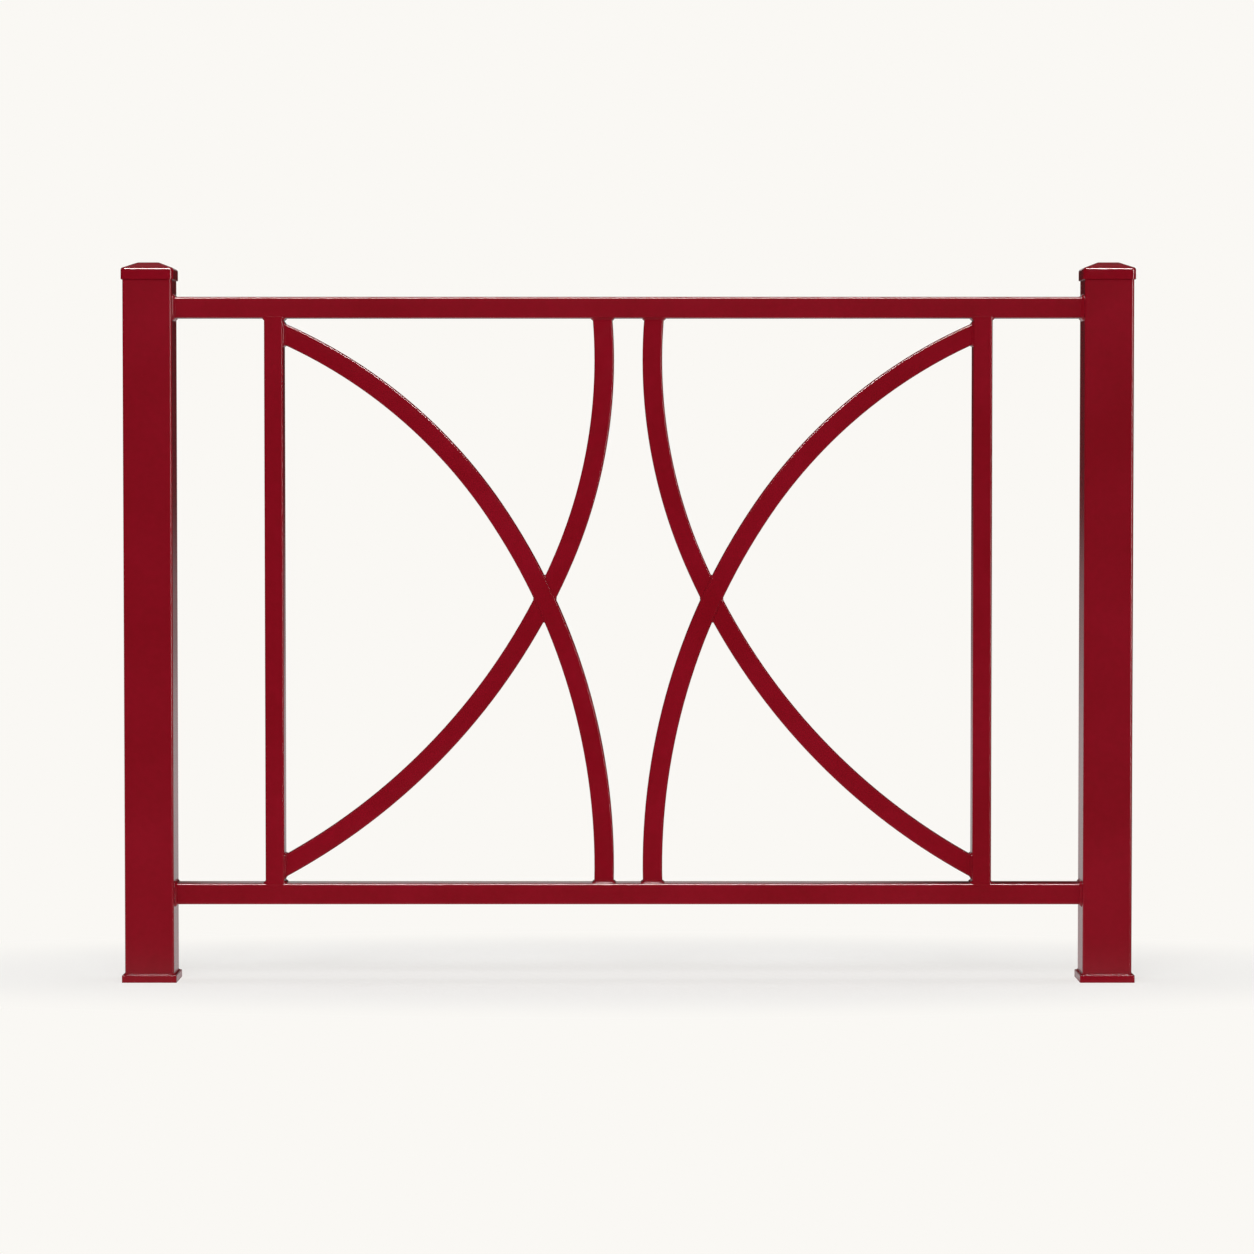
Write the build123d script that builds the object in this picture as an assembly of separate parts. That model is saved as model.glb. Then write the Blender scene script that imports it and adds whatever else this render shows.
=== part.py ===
from build123d import *
from math import cos, radians, sin, sqrt
import os

os.makedirs("parts", exist_ok=True)

# Street barrier in millimetres. The origin is the middle of the left foot on the ground.
# X runs along the barrier to the right post, -Y is the side that faces the street, Z is up.

# Layout
post_spacing = 1365.0       # between the middles of the two posts
overall_height = 1025.0     # ground to the flat of the caps
ground_gap = 110.0          # ground to the underside of the bottom rail
top_rail_drop = 49.0        # flat of the caps to the top of the top rail
side_gap = 129.5            # clear between a post and the upright beside it

# Posts
post_width = 70.0
post_wall = 3.0
post_corner_radius = 4.0

# Caps
cap_wall = 2.2
cap_fit = 0.2               # clearance between the skirt and the post
cap_skirt = 12.0            # how far the skirt comes down the post
cap_edge = 3.8              # height of the straight edge above the post's end
cap_slope = 8.8             # rise of the four sloping faces
cap_flat = 30.0             # width of the flat on top
cap_eaves_radius = 4.0      # round between the straight edge and the slopes

# Base plates
plate_overhang = 4.0        # beyond the post on each side
plate_thickness = 10.5
plate_corner_radius = 2.0
plate_chamfer = 0.8

# Rails and uprights share one depth, so their faces are flush
frame_depth = 40.0
frame_corner_radius = 3.0
rail_height = 30.0
rail_wall = 2.0
upright_width = 27.0
upright_wall = 2.0

# Curved bars of square tube. Each is bent to two radii that follow from where it starts and ends and
# from how far it leans from the vertical at its start, at the change of radius and at its end.
bar_width = 28.0
bar_wall = 2.0
bar_bevel_width = 1.8       # flat across each long edge, for the small round of the real tube
bar_overrun = 25.0          # spare length that is trimmed off against the frame
long_bar_start = 34.8       # middle of the panel to the bar's middle at the bottom rail
long_bar_drop = 22.0        # top rail to the bar's middle at the upright
long_bar_leans = (-1.5, 34.3, 66.0)
cut_bar_start = 36.7        # middle of the panel to the bar's middle at the top rail
cut_bar_height = 23.7       # bottom rail to the bar's middle at the upright
cut_bar_leans = (-4.7, 22.9, 61.3)

# Fillet welds, each named by the leg of its triangle
rail_weld_leg = 4.0         # round a rail's end at a post
upright_weld_leg = 3.5      # round an upright's end at a rail, dressed flush in front and behind
bar_weld_leg = 3.2          # round the end of a curved bar at the frame
butt_weld_leg = 2.0         # round a cut bar's end at the long bar
butt_crown = 0.6            # what dressing leaves of it in front and behind
foot_weld_leg = 3.0         # round a post's foot at its base plate
weld_root = 1.0             # how deep a weld's form reaches into the carrier before it is trimmed
weld_lap = 0.2              # how far the form's thin edge dips into the bar before it is trimmed

# Levels and stations that follow from the sizes above
middle = post_spacing / 2
post_top = overall_height - cap_slope - cap_edge
top_rail_middle = overall_height - top_rail_drop - rail_height / 2
bottom_rail_middle = ground_gap + rail_height / 2
panel_top = top_rail_middle - rail_height / 2
panel_bottom = bottom_rail_middle + rail_height / 2
panel_height = panel_top - panel_bottom
panel_mid_height = (panel_top + panel_bottom) / 2
upright_offset = middle - post_width / 2 - side_gap - upright_width / 2
half_panel = upright_offset - upright_width / 2

up = Vector(0, 0, 1)
along = Vector(1, 0, 0)


# Outline of a straight tube, solid or with its bore
def tube_outline(depth, width, corner, wall=None):
    outline = RectangleRounded(depth, width, corner)
    if wall:
        outline -= RectangleRounded(depth - 2 * wall, width - 2 * wall, corner - wall)
    return outline


# Rectangle with a flat across each corner
def bevelled(depth, width, bevel):
    return chamfer(Rectangle(depth, width).vertices(), bevel)


# Solid with flat sides between two outlines of straight edges
def tapered(outline_1, outline_2):
    return ConvexPolyhedron(outline_1.vertices() + outline_2.vertices())


# Straight length of tube: the outline's first size lies along Y
def straight(outline, start, heading, length):
    return extrude(Plane(origin=start, x_dir=(0, 1, 0), z_dir=heading) * outline, amount=length)


def mirrored(piece):
    return mirror(piece, about=Plane.YZ.offset(middle))


def upside_down(piece):
    return mirror(piece, about=Plane.XY.offset(panel_mid_height))


# Post, with the solid form of it that trims the welds
def post(wall=None):
    outline = tube_outline(post_width, post_width, post_corner_radius, wall)
    return straight(outline, (0, 0, plate_thickness), up, post_top - plate_thickness)


# Square plate under the post
def base_plate():
    width = post_width + 2 * plate_overhang
    plate = straight(tube_outline(width, width, plate_corner_radius), (0, 0, 0), up, plate_thickness)
    return chamfer(plate.faces().sort_by(Axis.Z)[-1].edges(), plate_chamfer)


# Cap: a skirt round the post, a seat on its end and a hollow truncated pyramid above. It is shaped with
# sharp vertical corners, softened at the eaves, and then trimmed to its rounded outline.
def post_cap():
    socket_width = post_width + 2 * cap_fit
    socket_corner = post_corner_radius + cap_fit
    width = socket_width + 2 * cap_wall
    eaves = overall_height - cap_slope
    ridge = Plane((0, 0, overall_height))
    skirt_foot = (0, 0, post_top - cap_skirt)
    sharp = Rectangle(width, width)
    pyramid = tapered(Plane((0, 0, eaves)) * sharp, ridge * Rectangle(cap_flat, cap_flat))
    cap = straight(sharp, skirt_foot, up, cap_skirt + cap_edge) + pyramid
    eaves_edges = cap.edges().group_by(Axis.Z)[-3]
    cap = fillet(eaves_edges, cap_eaves_radius)
    outline = tube_outline(width, width, socket_corner + cap_wall)
    cap &= straight(outline, skirt_foot, up, cap_skirt + cap_edge + cap_slope)
    cap -= straight(tube_outline(socket_width, socket_width, socket_corner), skirt_foot, up, cap_skirt)
    bore = post_width - 2 * post_wall
    ceiling = cap_flat - cap_wall
    seat = Plane((0, 0, post_top))
    return cap - tapered(seat * Rectangle(bore, bore), ridge.offset(-cap_wall) * Rectangle(ceiling, ceiling))


def rail(level, wall=None):
    outline = tube_outline(frame_depth, rail_height, frame_corner_radius, wall)
    return straight(outline, (post_width / 2, 0, level), along, post_spacing - post_width)


# Right upright
def upright(wall=None):
    outline = tube_outline(frame_depth, upright_width, frame_corner_radius, wall)
    return straight(outline, (middle + upright_offset, 0, panel_bottom), up, panel_height)


# Direction that leans so many degrees from the vertical, to the right
def leaning(lean):
    return Vector(sin(radians(lean)), 0, cos(radians(lean)))


# Middle line of a curved bar in the right half, from the bottom rail up to the upright. An arc covers
# its radius times the change of the lean's cosine across and of its sine upwards, which gives both radii.
def bar_route(start_offset, end_drop, leans):
    sines = [sin(radians(lean)) for lean in leans]
    cosines = [cos(radians(lean)) for lean in leans]
    across = half_panel - start_offset
    rise = panel_height - end_drop
    across_1, rise_1 = cosines[0] - cosines[1], sines[1] - sines[0]
    across_2, rise_2 = cosines[1] - cosines[2], sines[2] - sines[1]
    spread = across_2 * rise_1 - across_1 * rise_2
    radius_1 = (rise * across_2 - across * rise_2) / spread
    radius_2 = (across * rise_1 - rise * across_1) / spread
    start = Vector(middle + start_offset, panel_bottom)
    heading = Vector(sines[0], cosines[0])
    lead_in = Line(start - heading * bar_overrun, start)
    arc_1 = JernArc(start, heading, radius_1, leans[0] - leans[1])
    arc_2 = JernArc(arc_1 @ 1, arc_1 % 1, radius_2, leans[1] - leans[2])
    run_out = Line(arc_2 @ 1, arc_2 @ 1 + arc_2 % 1 * bar_overrun)
    return Plane.XZ * Wire([lead_in.edge(), arc_1.edge(), arc_2.edge(), run_out.edge()])


# Curved bar, solid or with its bore, trimmed to the clear opening inside the rails and uprights
def curved_bar(route, wall=None):
    outline = bevelled(bar_width, bar_width, bar_bevel_width)
    if wall:
        outline -= Rectangle(bar_width - 2 * wall, bar_width - 2 * wall)
    bar = sweep(Plane(origin=route @ 0, x_dir=(0, 1, 0), z_dir=route % 0) * outline, path=route)
    return bar & Pos(middle, 0, panel_mid_height) * Box(2 * half_panel, frame_depth, panel_height)


# Fillet weld round the end of a bar. The bar's middle line meets the carrier at the joint, away points
# out of the carrier there, and heading is the bar's direction. The weld is a mitred frame of triangular
# section. Between flush tubes it is dressed back to their depth and fills the groove along their corners.
def weld_round(joint, away, heading, size, leg, carrier, bar, dressed_depth=None, groove=weld_root):
    depth, width, bevel = size
    face = Plane(origin=joint, x_dir=(0, 1, 0), z_dir=away)
    squareness = heading.dot(away)
    slide = (heading * (1 / squareness) - away).dot(face.y_dir)

    def outline(level, growth):
        grown_bevel = bevel + (2 - sqrt(2)) * growth
        grown = bevelled(depth + 2 * growth, width / squareness + 2 * growth, grown_bevel)
        return face * Pos(0, slide * level, level) * grown

    form = tapered(outline(-groove, leg + groove), outline(leg, -weld_lap))
    if dressed_depth:
        form &= Pos(joint) * Box(2 * post_width, dressed_depth, 2 * post_width)
    return form - bar - carrier


# Where a middle line passes through a curved carrier: the point, the way out of the carrier and the
# direction of the line, at the lower and the upper side
def butts(route, carrier):
    ends = [(edge @ t, edge % t) for edge in (route & carrier).edges() for t in (0, 1)]
    ends.sort(key=lambda end: end[0].Z)
    for (point, heading), outwards in ((ends[0], -1), (ends[-1], 1)):
        away = carrier.faces().sort_by_distance(point)[0].normal_at(point)
        yield point, away, heading if heading.Z * outwards > 0 else -heading


# Size of a rounded tube for its weld: a flat that touches the round of each corner
def weld_size(depth, width, corner):
    return depth, width, (2 - sqrt(2)) * corner


# Solid forms of the tubes that trim the welds
post_form = post()
plate_form = base_plate()
top_rail_form = rail(top_rail_middle)
bottom_rail_form = rail(bottom_rail_middle)
upright_form = upright()
long_route = bar_route(long_bar_start, long_bar_drop, long_bar_leans)
long_form = curved_bar(long_route)

# The cut bar is shaped from the bottom rail up as the long bar is, and then turned upside down
cut_route = bar_route(cut_bar_start, cut_bar_height, cut_bar_leans)
cut_form = curved_bar(cut_route)
cut_bar = upside_down(curved_bar(cut_route, bar_wall))
lower_bar, upper_bar = (cut_bar - long_form).solids().sort_by(Axis.Z)

bar_size = (bar_width, bar_width, bar_bevel_width)
rail_size = weld_size(frame_depth, rail_height, frame_corner_radius)
upright_size = weld_size(frame_depth, upright_width, frame_corner_radius)
post_size = weld_size(post_width, post_width, post_corner_radius)


def weld_at_plate():
    joint = Vector(0, 0, plate_thickness)
    return weld_round(joint, up, up, post_size, foot_weld_leg, plate_form, post_form)


def weld_at_post(level, form):
    joint = Vector(post_width / 2, 0, level)
    return weld_round(joint, along, along, rail_size, rail_weld_leg, post_form, form)


def weld_at_upright_foot():
    joint = Vector(middle + upright_offset, 0, panel_bottom)
    forms = (bottom_rail_form, upright_form)
    return weld_round(joint, up, up, upright_size, upright_weld_leg, *forms, frame_depth, frame_corner_radius)


def weld_at_rail(start_offset, leans, form):
    joint = Vector(middle + start_offset, 0, panel_bottom)
    return weld_round(joint, up, leaning(leans[0]), bar_size, bar_weld_leg, bottom_rail_form, form)


def weld_at_upright(end_drop, leans, form):
    joint = Vector(middle + half_panel, 0, panel_top - end_drop)
    return weld_round(joint, -along, -leaning(leans[2]), bar_size, bar_weld_leg, upright_form, form)


left_pieces = {
    "post": post(post_wall),
    "cap": post_cap(),
    "base_plate": plate_form,
    "foot_weld": weld_at_plate(),
    "top_rail_weld": weld_at_post(top_rail_middle, top_rail_form),
    "bottom_rail_weld": weld_at_post(bottom_rail_middle, bottom_rail_form),
}
right_pieces = {
    "upright": upright(upright_wall),
    "upright_bottom_weld": weld_at_upright_foot(),
    "upright_top_weld": upside_down(weld_at_upright_foot()),
    "long_bar": curved_bar(long_route, bar_wall),
    "upper_bar": upper_bar,
    "lower_bar": lower_bar,
    "long_bar_bottom_weld": weld_at_rail(long_bar_start, long_bar_leans, long_form),
    "long_bar_top_weld": weld_at_upright(long_bar_drop, long_bar_leans, long_form),
    "upper_bar_weld": upside_down(weld_at_rail(cut_bar_start, cut_bar_leans, cut_form)),
    "lower_bar_weld": upside_down(weld_at_upright(cut_bar_height, cut_bar_leans, cut_form)),
}
butt_forms = (long_form, upside_down(cut_form))
butt_dressing = (bar_width + 2 * butt_crown, bar_bevel_width)
for name, butt in zip(("lower", "upper"), butts(upside_down(cut_route), long_form)):
    weld = weld_round(*butt, bar_size, butt_weld_leg, *butt_forms, *butt_dressing)
    right_pieces[name + "_butt_weld"] = weld

nodes = {"top_rail": rail(top_rail_middle, rail_wall), "bottom_rail": rail(bottom_rail_middle, rail_wall)}
for name, piece in left_pieces.items():
    nodes["left_" + name] = piece
    nodes["right_" + name] = mirrored(piece)
for name, piece in right_pieces.items():
    nodes["right_" + name] = piece
    nodes["left_" + name] = mirrored(piece)
for name, piece in nodes.items():
    export_step(piece, "parts/" + name + ".step")
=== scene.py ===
from contextlib import contextmanager
from math import atan2, cos, degrees, radians, sin
import bmesh
import bpy
from mathutils import Matrix, Vector


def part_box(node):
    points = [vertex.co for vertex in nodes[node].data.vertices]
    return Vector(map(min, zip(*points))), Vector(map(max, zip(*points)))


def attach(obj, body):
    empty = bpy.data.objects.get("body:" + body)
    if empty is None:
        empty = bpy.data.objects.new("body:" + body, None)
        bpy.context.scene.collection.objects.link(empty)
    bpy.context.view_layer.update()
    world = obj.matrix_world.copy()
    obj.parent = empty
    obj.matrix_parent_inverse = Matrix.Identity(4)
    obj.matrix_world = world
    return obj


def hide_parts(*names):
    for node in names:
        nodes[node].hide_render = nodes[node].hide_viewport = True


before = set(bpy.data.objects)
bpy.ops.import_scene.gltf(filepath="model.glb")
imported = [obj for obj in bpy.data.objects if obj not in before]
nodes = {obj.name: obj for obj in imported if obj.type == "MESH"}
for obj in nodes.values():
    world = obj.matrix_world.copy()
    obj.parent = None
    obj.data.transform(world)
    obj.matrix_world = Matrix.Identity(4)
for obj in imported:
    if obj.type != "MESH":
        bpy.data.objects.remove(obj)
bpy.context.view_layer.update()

# Street barrier in metres: X runs along it, -Y faces the street, Z is up
acrossX, depthY, upZ = Vector((1, 0, 0)), Vector((0, 1, 0)), Vector((0, 0, 1))
shaping = {"cornerSteps": 6, "sharpFrom": 32, "sameLevel": 1e-6}  # sharp from so many degrees


def boxSize(node):
    low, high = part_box(node)
    return high - low


def middleZ(node):
    low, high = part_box(node)
    return (low.z + high.z) / 2


postLow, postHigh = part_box("left_post")
uprightLow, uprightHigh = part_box("right_upright")
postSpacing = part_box("right_post")[0].x - postLow.x
middleX = postSpacing / 2
panelLow, panelHigh = uprightLow.z, uprightHigh.z         # clear opening between the rails
panelMiddle = Vector((middleX, 0, (panelLow + panelHigh) / 2))
halfPanel = uprightLow.x - middleX
frameDepth = boxSize("top_rail").y
topRailZ, bottomRailZ = middleZ("top_rail"), middleZ("bottom_rail")
print("frame loaded:", len(nodes), "nodes, posts", round(postSpacing, 4), "m apart")


# Modelling helpers

def pickOnly(piece):
    bpy.ops.object.select_all(action="DESELECT")
    piece.select_set(True)
    bpy.context.view_layer.objects.active = piece


@contextmanager
def editing(piece):                                       # edit mode with everything selected
    pickOnly(piece)
    bpy.ops.object.mode_set(mode="EDIT")
    selectAll()
    yield
    bpy.ops.object.mode_set(mode="OBJECT")


def selectAll():                                          # in edit mode
    bpy.ops.mesh.select_mode(type="VERT")
    bpy.ops.mesh.select_all(action="SELECT")


def choose(piece, kind, test):                            # selects faces, edges or verts that pass
    bpy.ops.mesh.select_mode(type=kind.rstrip("s").upper())
    bpy.ops.mesh.select_all(action="DESELECT")
    mesh = bmesh.from_edit_mesh(piece.data)
    for item in getattr(mesh, kind):
        if test(item):
            item.select_set(True)
    mesh.select_flush_mode()
    bmesh.update_edit_mesh(piece.data)


def settle(piece, matrix=None):                           # puts the place into the mesh
    if matrix:
        piece.matrix_world = matrix
    pickOnly(piece)
    bpy.ops.object.transform_apply(location=True, rotation=True, scale=True)


def copyOf(piece, name):
    twin = piece.copy()
    twin.data = piece.data.copy()
    twin.name = name
    bpy.context.collection.objects.link(twin)
    return twin


def flipped(piece, name, factors, centre):                # a mirrored copy, faces outwards again
    twin = copyOf(piece, name)
    with editing(twin):
        bpy.ops.transform.resize(value=factors, center_override=centre)
        turnOutwards()
    return twin


def carve(piece, operation, other):
    pickOnly(piece)
    modifier = piece.modifiers.new("carve", "BOOLEAN")
    modifier.operation = operation
    modifier.solver = "EXACT"
    modifier.object = other
    bpy.ops.object.modifier_apply(modifier=modifier.name)


def smooth(piece):                                        # flat faces stay flat, rounds run smooth
    pickOnly(piece)
    bpy.ops.object.shade_smooth_by_angle(angle=radians(shaping["sharpFrom"]))
    piece.modifiers.new("even", "WEIGHTED_NORMAL").keep_sharp = True
    bpy.ops.object.modifier_apply(modifier="even")


def roundedFace(name, width, depth, corner):              # lies flat: width along X, depth along Y
    bpy.ops.object.select_all(action="DESELECT")
    bpy.ops.mesh.primitive_plane_add(size=1)
    piece = bpy.context.object
    piece.name = name
    with editing(piece):
        bpy.ops.transform.resize(value=(width, depth, 1), center_override=(0, 0, 0))
        bpy.ops.mesh.bevel(offset=corner, segments=shaping["cornerSteps"], affect="VERTICES")
    return piece


def extrudeBy(move):                                      # extrudes what is selected
    bpy.ops.mesh.extrude_region_move(TRANSFORM_OT_translate={"value": move})


def turnOutwards():                                       # in edit mode, all the normals
    bpy.ops.mesh.select_all(action="SELECT")
    bpy.ops.mesh.normals_make_consistent(inside=False)


def lowestPoint(piece):
    return min(vertex.co.z for vertex in piece.data.vertices)


def atLevel(level):                                       # test for what lies wholly at that height
    def lies(item):
        return all(abs(vertex.co.z - level) < shaping["sameLevel"] for vertex in item.verts)
    return lies


# Curved bars of square tube, each bent to two radii. Leans are degrees from upright
bars = {
    "width": 0.028, "wall": 0.002, "corner": 0.0031,
    "gap": 0.0008, "formCorner": 0.0003,                  # of the form that copes the cut bar
    "bendStep": 1.2, "overrun": 0.025,
    "long": {"startOffset": 0.0348, "endDrop": 0.022, "leans": (-1.5, 34.3, 66.0)},
    "cut": {"startOffset": 0.0367, "endDrop": 0.0237, "leans": (-4.7, 22.9, 61.3)},
}


def leaning(lean):
    return Vector((sin(lean), 0, cos(lean)))


def inwards(lean):                                        # from the bar to its bend's centre
    return Vector((cos(lean), 0, -sin(lean)))


def bendPlan(startOffset, endDrop, leans):                # arcs: (centre, radius, lean, next lean)
    leans = [radians(lean) for lean in leans]
    across, rise = halfPanel - startOffset, panelHigh - panelLow - endDrop
    across1, rise1 = cos(leans[0]) - cos(leans[1]), sin(leans[1]) - sin(leans[0])
    across2, rise2 = cos(leans[1]) - cos(leans[2]), sin(leans[2]) - sin(leans[1])
    spread = across2 * rise1 - across1 * rise2
    radius1 = (rise * across2 - across * rise2) / spread
    radius2 = (across * rise1 - rise * across1) / spread
    start = Vector((middleX + startOffset, 0, panelLow))
    centre1 = start + radius1 * inwards(leans[0])
    centre2 = centre1 + (radius2 - radius1) * inwards(leans[1])
    return [(centre1, radius1, leans[0], leans[1]), (centre2, radius2, leans[1], leans[2])]


def pointAt(plan, lean):
    centre, radius, *_ = plan[0] if lean <= plan[0][3] else plan[1]
    return centre - radius * inwards(lean)


def bentBar(name, plan, width, corner, hollow=True):
    bar = roundedFace(name, width, width, corner)
    lean = plan[0][2]
    start = pointAt(plan, lean) - bars["overrun"] * leaning(lean)
    settle(bar, Matrix.Translation(start) @ Matrix.Rotation(lean, 4, "Y"))
    with editing(bar):
        if hollow:
            bpy.ops.mesh.inset(thickness=bars["wall"])
            bpy.ops.mesh.delete(type="FACE")
            bpy.ops.mesh.select_all(action="SELECT")
        extrudeBy(bars["overrun"] * leaning(lean))
        for centre, radius, lean, nextLean in plan:
            steps = round(degrees(nextLean - lean) / bars["bendStep"])
            bpy.ops.mesh.spin(steps=steps, angle=lean - nextLean, center=centre, axis=depthY)
        extrudeBy(bars["overrun"] * leaning(nextLean))
        turnOutwards()
    return bar


bpy.ops.object.select_all(action="DESELECT")
bpy.ops.mesh.primitive_cube_add(size=1, location=panelMiddle)
clearOpening = bpy.context.object
with editing(clearOpening):
    openingSize = (2 * halfPanel, frameDepth, panelHigh - panelLow)
    bpy.ops.transform.resize(value=openingSize, center_override=panelMiddle)
settle(clearOpening)

longPlan, cutPlan = bendPlan(**bars["long"]), bendPlan(**bars["cut"])
upsideDown = {"factors": (1, 1, -1), "centre": panelMiddle}
leftHand = {"factors": (-1, 1, 1), "centre": panelMiddle}

rightPieces = {}
formWidth = bars["width"] + 2 * bars["gap"]
longForm = bentBar("longForm", longPlan, formWidth, bars["formCorner"], hollow=False)
longBar = bentBar("rightLongBar", longPlan, bars["width"], bars["corner"])
carve(longBar, "INTERSECT", clearOpening)
rightPieces["long_bar"] = longBar
risingCutBar = bentBar("risingCutBar", cutPlan, bars["width"], bars["corner"])
carve(risingCutBar, "INTERSECT", clearOpening)
cutBar = flipped(risingCutBar, "cutBar", **upsideDown)
carve(cutBar, "DIFFERENCE", longForm)
with editing(cutBar):
    bpy.ops.mesh.separate(type="LOOSE")
halves = sorted(bpy.context.selected_objects, key=lowestPoint)
halves[0].name, halves[1].name = "rightLowerBar", "rightUpperBar"
rightPieces["lower_bar"], rightPieces["upper_bar"] = halves
print("cut bar in", len(halves), "halves")
for helper in (clearOpening, longForm, risingCutBar):
    bpy.data.objects.remove(helper)
for piece in rightPieces.values():
    smooth(piece)
print("curved bars bent:", [round(arc[1], 4) for arc in longPlan + cutPlan])


# Weld beads. A bead is a ring round a tube's end, built up from its root to its upper toe.
# A profile gives (height, growth) in legs, and a dressed root (height, fall) in grooves
beads = {
    "rail": 0.004, "upright": 0.0035, "bar": 0.0032,      # legs
    "butt": 0.002, "foot": 0.0024,
    "root": 0.0006, "lap": 0.0003,                        # sunk into the carrier and the tube
    "profile": ((0, 1.0), (0.28, 0.86), (0.6, 0.56), (0.86, 0.26)),
    "dressedRoot": ((-1.3, -0.2), (-0.9, -0.08), (-0.5, 0.0)),
    "dressedFalls": (0.0, 0.0, 0.0, -0.03, -0.12),
    "dressedDepth": 0.00005, "buttCrown": -0.0007,
    "pitch": 0.0022, "ripple": 0.00016, "wander": 0.00009,
    "straightness": 0.99, "shortestSide": 0.0088,         # which edges get stations
    "cornerStations": 4, "sideFrom": 0.49, "wanderShares": (0.3, 0.7),
}


def fullBead(leg):                                        # height, growth across, growth in depth
    outline = [(-beads["root"] / leg, 1.0), *beads["profile"], (1.0, -beads["lap"] / leg)]
    return [(height * leg, growth * leg, growth * leg) for height, growth in outline]


def dressedBead(leg, groove, crown):                      # flat in front and behind, over a groove
    root = [(height * groove, leg, fall) for height, fall in beads["dressedRoot"]]
    body = zip(fullBead(leg)[1:], beads["dressedFalls"])
    levels = root + [(height, growth, fall) for (height, growth, _), fall in body]
    return [(height, growth, crown + fall * groove) for height, growth, fall in levels]


def straightAlong(side):                                  # test for straight edges along X or Y
    def straight(edge):
        reach = abs(edge.verts[0].co[side] - edge.verts[1].co[side])
        return reach > beads["straightness"] * edge.calc_length() and reach > beads["shortestSide"]
    return straight


def rippleOn(raised, size, stations, slide):              # test for every other raised station
    def rippled(vertex):
        for height, growAcross, growDepth in raised:
            if abs(vertex.co.z - height) < shaping["sameLevel"]:
                x = (vertex.co.x - slide * height) / (size[0] + 2 * growAcross) + 0.5
                y = vertex.co.y / (size[1] + 2 * growDepth) + 0.5
                onX = abs(y - 0.5) > beads["sideFrom"]
                share, count = (x, stations[0]) if onX else (y, stations[1])
                return round(share * (count + beads["cornerStations"])) % 2 == 0
        return False
    return rippled


def bead(name, width, depth, corner, levels, slide=0.0, seed=1):
    rootHeight, growAcross, growDepth = levels[0]
    piece = roundedFace(name, width + 2 * growAcross, depth + 2 * growDepth, corner + growAcross)
    stations = [2 * round(length / beads["pitch"]) for length in (width, depth)]
    raised = [level for level in levels if 0 < level[0] < levels[-1][0]]

    def onRaised(vertex):
        return any(abs(vertex.co.z - level[0]) < 2 * beads["ripple"] for level in raised)

    with editing(piece):
        for side, count in enumerate(stations):           # even steps along the straight sides
            choose(piece, "edges", straightAlong(side))
            bpy.ops.mesh.subdivide(number_cuts=count - 1)
        selectAll()
        bpy.ops.transform.translate(value=(slide * rootHeight, 0, rootHeight))
        for (low, across0, depth0), (high, across1, depth1) in zip(levels, levels[1:]):
            extrudeBy((slide * (high - low), 0, high - low))
            widening = (width + 2 * across1) / (width + 2 * across0)
            deepening = (depth + 2 * depth1) / (depth + 2 * depth0)
            centre = (slide * high, 0, high)
            bpy.ops.transform.resize(value=(widening, deepening, 1), center_override=centre)
        choose(piece, "verts", rippleOn(raised, (width, depth), stations, slide))
        bpy.ops.transform.shrink_fatten(value=-beads["ripple"])
        choose(piece, "verts", onRaised)
        even, outwards = beads["wanderShares"]
        bpy.ops.transform.vertex_random(
            offset=beads["wander"], uniform=even, normal=outwards, seed=seed)
        turnOutwards()
    return piece


def seat(piece, joint, away):                             # stands a bead on its carrier
    across = depthY.cross(away)
    matrix = Matrix((across, depthY, away)).transposed().to_4x4()
    settle(piece, Matrix.Translation(joint) @ matrix)
    pickOnly(piece)
    flow = piece.modifiers.new("flow", "SUBSURF")
    flow.levels = flow.render_levels = 1
    bpy.ops.object.modifier_apply(modifier="flow")
    bpy.ops.object.shade_smooth()
    return piece


def barBead(node, joint, away, heading, levels, seed):    # round a curved bar's end on the right
    name = "right" + node.title().replace("_", "")
    squareness = heading.dot(away)
    slide = (heading / squareness - away).dot(depthY.cross(away))
    across = bars["width"] / squareness
    piece = bead(name, across, bars["width"], bars["corner"], levels, slide, seed)
    rightPieces[node] = seat(piece, joint, away)


def offLongBar(point):                                    # how far off the long bar, and which way
    for centre, radius, _, endLean in longPlan:
        spoke = point - centre
        if atan2(spoke.z, -spoke.x) <= endLean:
            break
    return spoke.length - radius, spoke.normalized()


def turnedDown(vector, height=0.0):
    return Vector((vector.x, vector.y, height - vector.z))


def onCutBar(lean):                                       # the falling bar's middle line
    return turnedDown(pointAt(cutPlan, lean), 2 * panelMiddle.z)


def crossing(distance, halvings=40):                      # where the bars are that far apart
    low, high = cutPlan[0][2], cutPlan[1][3]
    for _ in range(halvings):
        lean = (low + high) / 2
        point = onCutBar(lean)
        if offLongBar(point)[0] > distance:
            low = lean
        else:
            high = lean
    return point, offLongBar(point)[1], turnedDown(leaning(lean))


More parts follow.
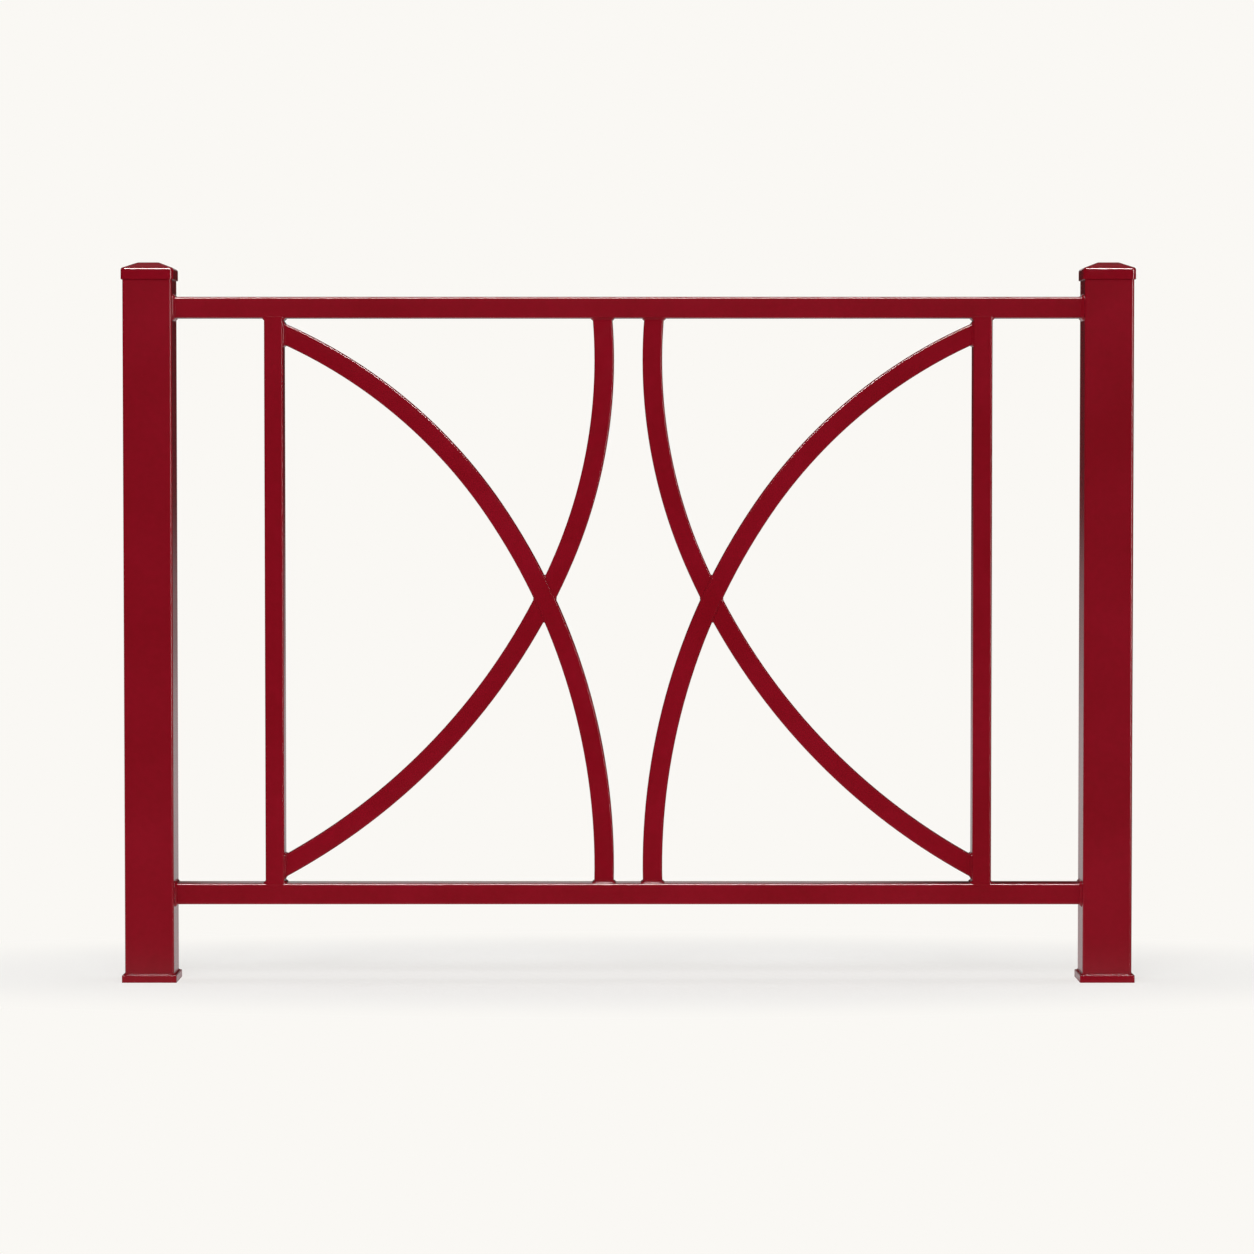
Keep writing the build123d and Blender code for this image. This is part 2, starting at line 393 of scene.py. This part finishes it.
barLevels = fullBead(beads["bar"])
lowLean, topLean = longPlan[0][2], longPlan[1][3]
barBead("long_bar_bottom_weld", pointAt(longPlan, lowLean), upZ, leaning(lowLean), barLevels, 1)
barBead("long_bar_top_weld", pointAt(longPlan, topLean), -acrossX, -leaning(topLean), barLevels, 2)
topLean, lowLean = cutPlan[0][2], cutPlan[1][3]
topWay, lowWay = turnedDown(leaning(topLean)), -turnedDown(leaning(lowLean))
barBead("upper_bar_weld", onCutBar(topLean), -upZ, topWay, barLevels, 3)
barBead("lower_bar_weld", onCutBar(lowLean), -acrossX, lowWay, barLevels, 4)
buttLevels = dressedBead(beads["butt"], bars["corner"], beads["buttCrown"])
for half, side, seed in (("upper", 1, 5), ("lower", -1, 6)):
    point, away, heading = crossing(side * bars["width"] / 2)
    barBead(half + "_butt_weld", point, side * away, -side * heading, buttLevels, seed)

tubes = {"frameCorner": 0.003, "postCorner": 0.004}
uprightWidth = boxSize("right_upright").x
uprightX = (uprightLow.x + uprightHigh.x) / 2
uprightLevels = dressedBead(beads["upright"], tubes["frameCorner"], beads["dressedDepth"])
footing = bead("rightUprightBottomWeld", uprightWidth, frameDepth, tubes["frameCorner"],
               uprightLevels, seed=7)
rightPieces["upright_bottom_weld"] = seat(footing, (uprightX, 0, panelLow), upZ)
rightPieces["upright_top_weld"] = flipped(footing, "rightUprightTopWeld", **upsideDown)

leftPieces = {}
railHeight = boxSize("top_rail").z
topRailWeld = bead("leftTopRailWeld", railHeight, frameDepth, tubes["frameCorner"],
                   fullBead(beads["rail"]), seed=8)
leftPieces["top_rail_weld"] = seat(topRailWeld, Vector((postHigh.x, 0, topRailZ)), acrossX)
bottomRailWeld = copyOf(topRailWeld, "leftBottomRailWeld")
settle(bottomRailWeld, Matrix.Translation((0, 0, bottomRailZ - topRailZ)))
leftPieces["bottom_rail_weld"] = bottomRailWeld
postWidth = postHigh.x - postLow.x
footWeld = bead("leftFootWeld", postWidth, postWidth, tubes["postCorner"],
                fullBead(beads["foot"]), seed=9)
leftPieces["foot_weld"] = seat(footWeld, (0, 0, postLow.z), upZ)
print("weld beads laid")


# Pressed caps: a skirt round the post, soft eaves, four slopes and a small flat
caps = {
    "skirt": 0.012, "edge": 0.0038, "flat": 0.03, "wall": 0.0022, "corner": 0.0064,
    "eavesRound": 0.0027, "flatRound": 0.0015, "steps": 6,
}
capLow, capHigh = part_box("left_cap")
capWidth = capHigh.x - capLow.x
cap = roundedFace("leftCap", capWidth, capWidth, caps["corner"])
with editing(cap):
    bpy.ops.transform.translate(value=(0, 0, capLow.z))
    extrudeBy((0, 0, caps["skirt"] + caps["edge"]))
    eaves = capLow.z + caps["skirt"] + caps["edge"]
    extrudeBy((0, 0, capHigh.z - eaves))
    narrowing = caps["flat"] / capWidth
    bpy.ops.transform.resize(value=(narrowing, narrowing, 1), center_override=(0, 0, capHigh.z))
    for level, soft in ((eaves, caps["eavesRound"]), (capHigh.z, caps["flatRound"])):
        choose(cap, "edges", atLevel(level))
        bpy.ops.mesh.bevel(offset=soft, segments=caps["steps"])
    choose(cap, "faces", atLevel(capLow.z))
    bpy.ops.mesh.inset(thickness=caps["wall"])
    extrudeBy((0, 0, caps["skirt"]))
    turnOutwards()
smooth(cap)
leftPieces["cap"] = cap

# Square base plates with an eased top edge
plates = {"corner": 0.002, "soft": 0.0009, "steps": 3}
plateSize = boxSize("left_base_plate")
plate = roundedFace("leftBasePlate", plateSize.x, plateSize.y, plates["corner"])
with editing(plate):
    extrudeBy((0, 0, plateSize.z))
    choose(plate, "edges", atLevel(plateSize.z))
    bpy.ops.mesh.bevel(offset=plates["soft"], segments=plates["steps"])
    turnOutwards()
smooth(plate)
leftPieces["base_plate"] = plate
print("caps and base plates pressed")

shown = dict(nodes)                                       # what stands for each node
for pieces, side, other in ((leftPieces, "left", "right"), (rightPieces, "right", "left")):
    for name, piece in pieces.items():
        twin = flipped(piece, piece.name.replace(side, other), **leftHand)
        for made, node in ((piece, side + "_" + name), (twin, other + "_" + name)):
            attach(made, "root")
            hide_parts(node)
            shown[node] = made


# Shader maths: a Link is a socket that can be written into sums
class Link:
    def __init__(self, shading, socket):
        self.shading, self.socket = shading, socket

    def sibling(self, name):                              # another output of the same node
        return Link(self.shading, self.socket.node.outputs[name])

    def worked(self, operation, first, second):
        return self.shading.add("Math", {"operation": operation}, {0: first, 1: second})

    def __add__(self, other):
        return self.worked("ADD", self, other)

    def __sub__(self, other):
        return self.worked("SUBTRACT", self, other)

    def __rsub__(self, other):
        return self.worked("SUBTRACT", other, self)

    def __mul__(self, other):
        return self.worked("MULTIPLY", self, other)

    __radd__ = __add__
    __rmul__ = __mul__


class Shading:
    def __init__(self, tree):
        self.tree = tree
        self.tree.nodes.clear()

    def add(self, kind, settings=None, values=None, output=0):
        node = self.tree.nodes.new("ShaderNode" + kind)
        for name, setting in (settings or {}).items():
            setattr(node, name, setting)
        for name, value in (values or {}).items():
            if isinstance(value, Link):
                self.tree.links.new(value.socket, node.inputs[name])
            else:
                node.inputs[name].default_value = value
        return Link(self, node.outputs[output]) if node.outputs else node

    def blend(self, share, first, second):                # colours
        values = {"Factor": share, 6: first, 7: second}
        return self.add("Mix", {"data_type": "RGBA"}, values, output=2)

    def either(self, share, first, second):               # shaders
        return self.add("MixShader", {}, {0: share, 1: first, 2: second})

    def ease(self, value, start, end, low=0.0, high=1.0):  # softly from low to high
        values = {"Value": value, "From Min": start, "From Max": end, "To Min": low, "To Max": high}
        return self.add("MapRange", {"interpolation_type": "SMOOTHSTEP"}, values)

    def axes(self, output):                               # X, with Y and Z as its siblings
        return self.add("SeparateXYZ", {}, {"Vector": self.add("TexCoord", output=output)})

    def rayMasks(self):                                   # seen by the camera, seen in gloss
        camera = self.add("LightPath", output="Is Camera Ray")
        return camera, camera.sibling("Is Glossy Ray")


# Crimson powder coat: flow, orange peel and a little mottling
coats = {
    "deep": (0.190, 0.0016, 0.0072, 1), "full": (0.225, 0.0028, 0.0112, 1),
    "cloud": (7.0, 3), "mottle": (90.0, 2),               # scale, detail
    "flow": (520.0, 1), "grain": (1900.0, 1),
    "cloudShare": 0.65, "mottleShare": 0.35, "toneFrom": 0.35, "toneTo": 0.65,
    "flowShare": 0.75, "grainShare": 0.25, "peelDepth": 0.00005, "roughnessSwing": 0.05,
}
finishes = {                                              # roughness, orange peel, shine, deepness
    "foot_weld": ("footWeldCoat", 0.2, 0.6, 0.1, 0.05),
    "weld": ("weldCoat", 0.15, 0.6, 0.26, 0.05),
    "cap": ("capCoat", 0.1, 0.25, 0.36, 0.0),
    "plate": ("plateCoat", 0.16, 0.4, 0.2, 0.0),
    "bar": ("barCoat", 0.15, 0.35, 0.2, 0.02),
    "post": ("postCoat", 0.16, 0.4, 0.3, 0.0),
    "rail": ("railCoat", 0.16, 0.4, 0.3, 0.0),
    "upright": ("uprightCoat", 0.16, 0.4, 0.22, 0.0),
}


def powderCoat(name, roughness, peel, shine, deepness):
    material = bpy.data.materials.new(name)
    material.use_nodes = True
    shading = Shading(material.node_tree)
    place = shading.add("TexCoord", output="Object")

    def noise(pattern):
        scale, detail = coats[pattern]
        return shading.add("TexNoise", {}, {"Vector": place, "Scale": scale, "Detail": detail})

    cloud, mottle, flow, grain = map(noise, ("cloud", "mottle", "flow", "grain"))
    tone = shading.add("MapRange", {}, {
        "Value": cloud * coats["cloudShare"] + mottle * coats["mottleShare"],
        "From Min": coats["toneFrom"] - deepness, "From Max": coats["toneTo"] - deepness})
    colour = shading.blend(tone, coats["full"], coats["deep"])
    bump = shading.add("Bump", {}, {
        "Strength": peel, "Distance": coats["peelDepth"],
        "Height": flow * coats["flowShare"] + grain * coats["grainShare"]})
    surface = shading.add("BsdfPrincipled", {}, {
        "Base Color": colour, "Roughness": roughness + coats["roughnessSwing"] * mottle,
        "Normal": bump, "Specular IOR Level": shine})
    shading.add("OutputMaterial", {}, {"Surface": surface})
    return material


materials = {kind: powderCoat(*finish) for kind, finish in finishes.items()}
for node, piece in shown.items():
    kind = next(kind for kind in finishes if kind in node)  # the first name that fits
    piece.data.materials.clear()
    piece.data.materials.append(materials[kind])
print("powder coat on", len(shown), "pieces")


# Studio: a pale floor that runs into a white background, soft lamps and the camera
studio = {"white": (0.956, 0.939, 0.905, 1), "plain": (1, 1, 1, 1), "black": (0, 0, 0, 1)}
ground = {
    "front": -2.3, "back": 14.0, "side": 14.0, "paint": (0.86, 0.88, 0.9, 1), "bounce": 1.25,
    "shadowShare": 0.35, "shadowSpan": (0.04, 0.3), "shadowAcross": 0.16, "shadowBack": 0.1,
    "behind": (-0.6, 0.1), "fading": (3.0, 14.0), "mirrored": (0.58, 0.26),  # in gloss, by depth
}

bpy.ops.object.select_all(action="DESELECT")
bpy.ops.mesh.primitive_plane_add(size=1, location=(middleX, 0, 0))
floor = bpy.context.object
floor.name = "paleFloor"
with editing(floor):
    floorDepth = ground["back"] - ground["front"]
    floorSize = (2 * ground["side"], floorDepth, 1)
    bpy.ops.transform.resize(value=floorSize, center_override=(middleX, 0, 0))
    bpy.ops.transform.translate(value=(0, ground["front"] + floorDepth / 2, 0))
settle(floor)
floorMaterial = bpy.data.materials.new("paleFloorPaint")
floorMaterial.use_nodes = True
shading = Shading(floorMaterial.node_tree)
toCamera, inGloss = shading.rayMasks()
spot = shading.axes("Object")
fromMiddle = spot - middleX
backwards = spot.sibling("Y") - ground["shadowBack"]
reach = fromMiddle * fromMiddle * ground["shadowAcross"] + backwards * backwards
near = shading.ease(reach, *ground["shadowSpan"], ground["shadowShare"], 0.0)
behind = shading.ease(spot.sibling("Y"), *ground["behind"])
fading = shading.ease(spot.sibling("Y"), *ground["fading"], *ground["mirrored"])
white = shading.add("Emission", {}, {"Color": studio["white"]})
mirroredColour = shading.blend(behind * fading, studio["black"], studio["plain"])
whiteBehind = shading.add("Emission", {}, {"Color": mirroredColour})
paint = shading.add("BsdfDiffuse", {}, {"Color": ground["paint"]})
bounce = shading.add("Emission", {}, {"Color": studio["white"], "Strength": ground["bounce"]})
shadowed = shading.either(near, white, paint)             # the floor takes shadow near the feet
indirect = shading.either(inGloss, bounce, whiteBehind)
shading.add("OutputMaterial", {}, {"Surface": shading.either(toCamera, indirect, shadowed)})
floor.data.materials.append(floorMaterial)

# Surroundings: white to the camera, a soft fill, and in gloss a dark room with pale parts
room = {
    "fill": 0.3, "dark": 0.015, "behind": (0.93, 0.985),
    "ceiling": 0.12, "above": (0.25, 0.5),
    "band": 0.65, "bandUp": (0.07, 0.09),
    "bandRight": (0.075, 0.045), "bandLeft": (-0.105, -0.095),
    "farGlow": 0.25, "glowDown": (-0.004, -0.036),
}
world = bpy.data.worlds.new("studioWorld")
bpy.context.scene.world = world
world.use_nodes = True
shading = Shading(world.node_tree)
toCamera, inGloss = shading.rayMasks()
direction = shading.axes("Generated")
height = direction.sibling("Z")
behind = shading.ease(direction.sibling("Y"), *room["behind"])
above = shading.ease(height, *room["above"])
toRight = shading.ease(direction, *room["bandRight"])
toLeft = shading.ease(direction, *room["bandLeft"])
band = shading.ease(height, *room["bandUp"]) * toRight * toLeft
farGlow = shading.ease(height, *room["glowDown"])
paleness = behind * (band * room["band"] + farGlow * room["farGlow"])
paleness = paleness + above * room["ceiling"] + room["dark"]
mirroredColour = shading.blend(paleness, studio["black"], studio["plain"])
softFill = shading.add("Background", {}, {"Color": studio["plain"], "Strength": room["fill"]})
mirrored = shading.add("Background", {}, {"Color": mirroredColour})
backdrop = shading.add("Background", {}, {"Color": studio["white"]})
indirect = shading.either(inGloss, softFill, mirrored)
shading.add("OutputWorld", {}, {"Surface": shading.either(toCamera, indirect, backdrop)})

lamps = {
    "keyLamp": {"place": (0.2, -4.4, 3.4), "aim": (0.68, 0, 0.5), "size": (3.0, 2.0),
                "power": 138, "lights": True, "shines": False},
    "topLamp": {"place": (0.68, 0.3, 3.2), "aim": (0.68, 0, 0), "size": (3.0, 1.6),
                "power": 34, "lights": True, "shines": False},
    "overheadGlint": {"place": (0.68, -1.6, 2.8), "aim": (0.68, 0, 0.9), "size": (3.4, 0.7),
                      "power": 560, "lights": False, "shines": True},
    "rightGlint": {"place": (3.74, -2.57, 0.7), "aim": (0.68, 0, 0.6), "size": (0.6, 2.4),
                   "power": 105, "lights": False, "shines": True},
}
for name, lamp in lamps.items():                          # a glint shows only as a highlight
    bpy.ops.object.light_add(type="AREA", location=lamp["place"])
    light = bpy.context.object
    light.name = name
    light.data.shape = "RECTANGLE"
    light.data.size, light.data.size_y = lamp["size"]
    light.data.energy = lamp["power"]
    facing = Vector(lamp["aim"]) - Vector(lamp["place"])
    light.rotation_euler = facing.to_track_quat("-Z", "Y").to_euler()
    light.visible_diffuse = lamp["lights"]
    light.visible_glossy = lamp["shines"]
    light.visible_camera = False

view = {"place": (0.68065, -6.035, 0.7218), "tilt": 87.95, "lens": 121.29, "sensor": 36.0}
bpy.ops.object.camera_add(location=view["place"], rotation=(radians(view["tilt"]), 0, 0))
camera = bpy.context.object
camera.name = "photoCamera"
camera.data.lens = view["lens"]
camera.data.sensor_width = view["sensor"]
bpy.context.scene.camera = camera
bpy.context.scene.view_settings.view_transform = "Standard"
print("studio lit")
